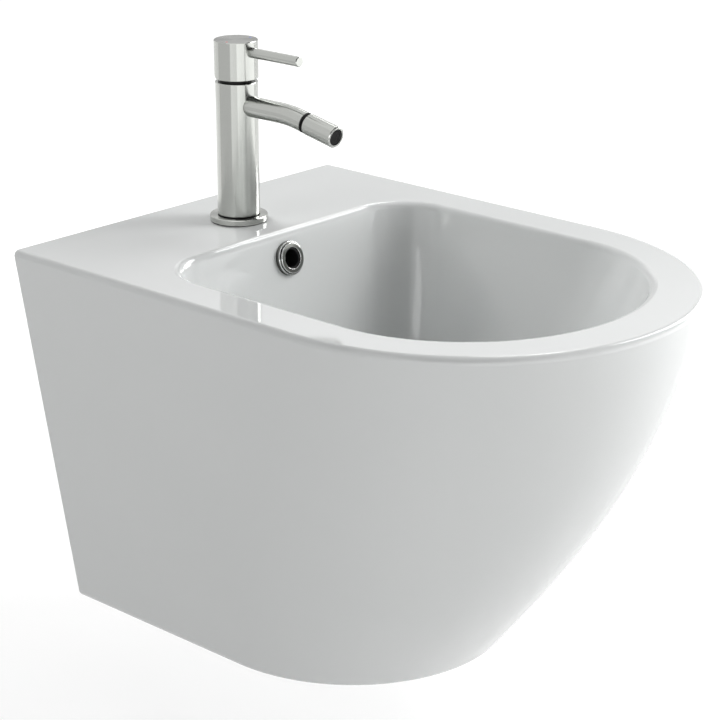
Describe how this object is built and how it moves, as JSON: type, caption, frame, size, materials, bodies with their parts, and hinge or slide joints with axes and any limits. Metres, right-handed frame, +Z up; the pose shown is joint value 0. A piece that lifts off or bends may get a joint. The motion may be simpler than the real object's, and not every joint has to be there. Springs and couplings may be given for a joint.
{
  "type": "wall-hung bidet",
  "caption": "Wall-hung ceramic bidet with a rounded bowl, overflow, click waste and a single-lever mixer tap whose nozzle swivels.",
  "frame": {"origin": "in the wall plane, midway between the two wall-fixing holes", "axes": "+Z up, +Y into the wall so the front faces -Y, and +X towards the cold side of the tap"},
  "size_m": [0.365, 0.4911, 0.4692],
  "materials": {
    "white_glaze": "white gloss glaze",
    "brushed_nickel": "fine brushing round the axis",
    "chrome": "polished",
    "zinc_steel": "bright zinc",
    "plain_brass": "turned",
    "black_rubber": "matt",
    "black_plastic": "matt",
    "white_plastic": "moulded",
    "alumina": "lapped",
    "red_mark": "gloss",
    "blue_mark": "gloss"
  },
  "bodies": {
    "ceramic": {"ceramic_body": "white_glaze", "tap_base_ring": "brushed_nickel", "tap_body": "brushed_nickel", "spout_arm": "brushed_nickel", "dome_ring": "brushed_nickel", "overflow_ring": "chrome", "waste_body": "chrome", "waste_tailpiece": "chrome", "waste_back_nut": "chrome", "fixing_washers": "zinc_steel", "fixing_nuts": "zinc_steel", "horseshoe_plate": "zinc_steel", "mounting_stud": "zinc_steel", "plug_spring": "zinc_steel", "mounting_nut": "plain_brass", "cartridge_nut": "plain_brass", "tap_base_seal": "black_rubber", "horseshoe_gasket": "black_rubber", "inlet_seals": "black_rubber", "waste_top_seal": "black_rubber", "waste_bottom_seal": "black_rubber", "tailpiece_seal": "black_rubber", "spout_end_seal": "black_rubber", "overflow_sleeve": "black_plastic", "spout_ball": "black_plastic", "fixing_sleeves": "white_plastic", "cartridge_base": "white_plastic", "cartridge_housing": "white_plastic", "click_housing": "white_plastic", "fixed_disc": "alumina"},
    "carrier": {"cartridge_carrier": "white_plastic", "stem_pin": "zinc_steel"},
    "handle": {"cartridge_stem": "zinc_steel", "handle_head": "brushed_nickel", "handle_lever": "brushed_nickel", "handle_grub_screw": "zinc_steel", "handle_grub_cap": "black_plastic", "hot_mark": "red_mark", "cold_mark": "blue_mark"},
    "disc": {"moving_disc": "alumina", "disc_slider": "white_plastic"},
    "ball_seat": {"ball_seat": "black_plastic"},
    "nozzle": {"nozzle_shell": "brushed_nickel", "nozzle_clamp_ring": "plain_brass", "aerator_seal": "black_rubber", "aerator_housing": "black_plastic", "aerator_screen": "black_plastic"},
    "plug": {"plug_cap": "chrome", "plug_seal": "black_rubber", "plug_stem": "zinc_steel"}
  },
  "joints": [
    {"name": "handle_turn", "type": "hinge", "parent": "ceramic", "child": "carrier", "pos_m": [0, -0.0675, 0.204], "axis": [0, 0, 1], "range_deg": [-50, 50]},
    {"name": "handle_lift", "type": "hinge", "parent": "carrier", "child": "handle", "pos_m": [0, -0.0675, 0.204], "axis": [-1, 0, 0], "range_deg": [0, 25]},
    {"name": "disc_slide", "type": "slide", "parent": "carrier", "child": "disc", "axis": [0, -1, 0], "range_m": [0, 0.0035]},
    {"name": "nozzle_yaw", "type": "hinge", "parent": "ceramic", "child": "ball_seat", "pos_m": [0, -0.15174, 0.17758], "axis": [0, -0.1994, 0.9799], "range_deg": [-12, 12]},
    {"name": "nozzle_pitch", "type": "hinge", "parent": "ball_seat", "child": "nozzle", "pos_m": [0, -0.15174, 0.17758], "axis": [1, 0, 0], "range_deg": [-12, 12]},
    {"name": "plug_slide", "type": "slide", "parent": "ceramic", "child": "plug", "axis": [0, 0, 1], "range_m": [0, 0.008], "deforming": ["plug_spring"]}
  ],
  "couplings": [
    {"joint": "disc_slide", "follows": "handle_lift", "m_per_rad": 0.0078}
  ]
}
